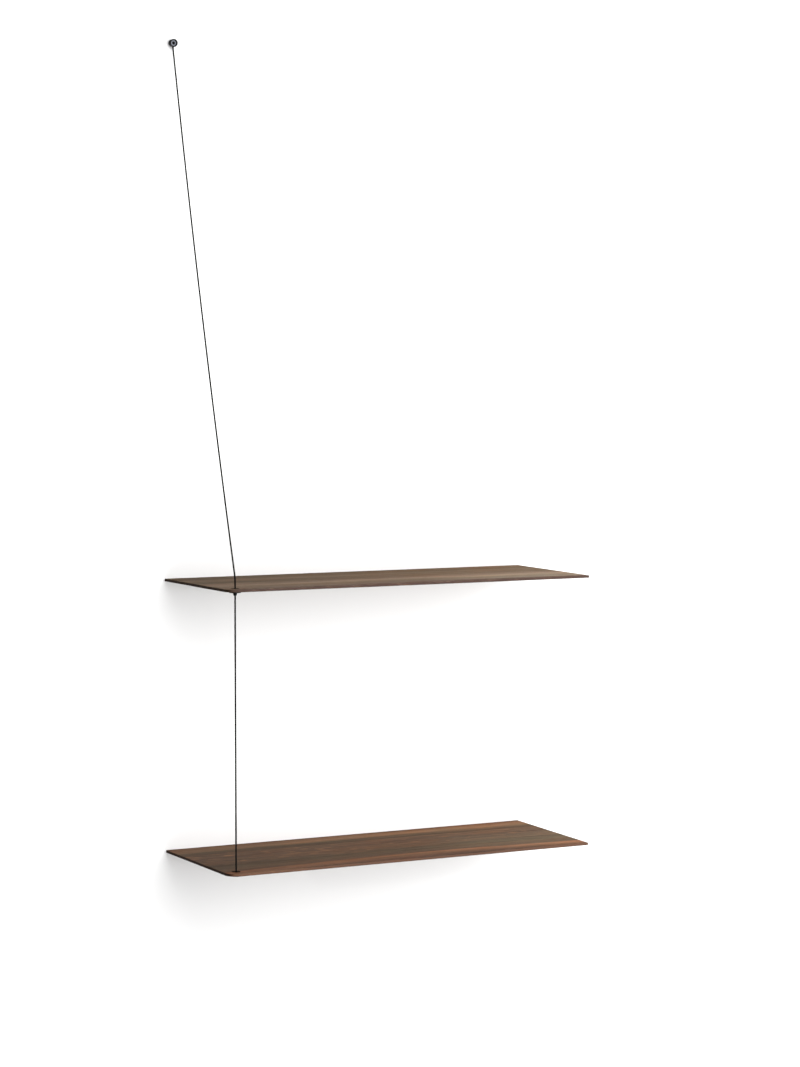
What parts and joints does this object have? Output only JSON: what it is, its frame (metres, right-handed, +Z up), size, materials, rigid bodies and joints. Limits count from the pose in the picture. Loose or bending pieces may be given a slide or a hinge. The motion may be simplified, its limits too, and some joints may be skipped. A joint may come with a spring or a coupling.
{
  "type": "wall shelf with brackets",
  "caption": "Thin dark wood boards one above the other on hidden wall rails, their front left corners hung on a black wire from a small wall button.",
  "frame": {"origin": "middle of the upper wall rail's back face, on the wall plane, half way up the upper board's core", "axes": "+X along the wall to the right seen from the room, +Y into the wall, +Z up; the boards reach out to -Y"},
  "size_m": [0.6, 0.269, 1.2149],
  "materials": {
    "dark_wood": "dark smoked and oiled open-grain wood, matt",
    "black_wire": "black coated steel wire, satin",
    "black_metal": "black anodised turned metal, satin",
    "screw_steel": "turned grey steel screw head",
    "zinc_steel": "bright zinc plated steel",
    "brass": "turned brass"
  },
  "bodies": {
    "shelf_unit": {"button_cup": "black_metal", "button_screw": "screw_steel", "lower_board": "dark_wood", "lower_lock_insert_left": "brass", "lower_lock_insert_right": "brass", "lower_lock_screw_left": "black_metal", "lower_lock_screw_right": "black_metal", "lower_rail": "zinc_steel", "lower_rail_screw_1": "zinc_steel", "lower_rail_screw_2": "zinc_steel", "lower_rail_screw_3": "zinc_steel", "lower_rail_screw_4": "zinc_steel", "lower_rod_left": "zinc_steel", "lower_rod_middle": "zinc_steel", "lower_rod_right": "zinc_steel", "lower_wire": "black_wire", "lower_wire_ferrule": "black_metal", "lower_wire_stud": "black_metal", "upper_board": "dark_wood", "upper_lock_insert_left": "brass", "upper_lock_insert_right": "brass", "upper_lock_screw_left": "black_metal", "upper_lock_screw_right": "black_metal", "upper_rail": "zinc_steel", "upper_rail_screw_1": "zinc_steel", "upper_rail_screw_2": "zinc_steel", "upper_rail_screw_3": "zinc_steel", "upper_rail_screw_4": "zinc_steel", "upper_rod_left": "zinc_steel", "upper_rod_middle": "zinc_steel", "upper_rod_right": "zinc_steel", "upper_wire": "black_wire", "upper_wire_stud": "black_metal"},
    "upper_nut": {"upper_level_nut": "black_metal"},
    "lower_nut": {"lower_level_nut": "black_metal"}
  },
  "joints": [
    {"name": "upper_nut_turn", "type": "hinge", "parent": "shelf_unit", "child": "upper_nut", "pos_m": [-0.27739, -0.209, 0.0042], "axis": [0, 0, 1], "range_deg": [-360, 360]},
    {"name": "lower_nut_turn", "type": "hinge", "parent": "shelf_unit", "child": "lower_nut", "pos_m": [-0.27739, -0.209, -0.4018], "axis": [0, 0, 1], "range_deg": [-360, 360]}
  ]
}
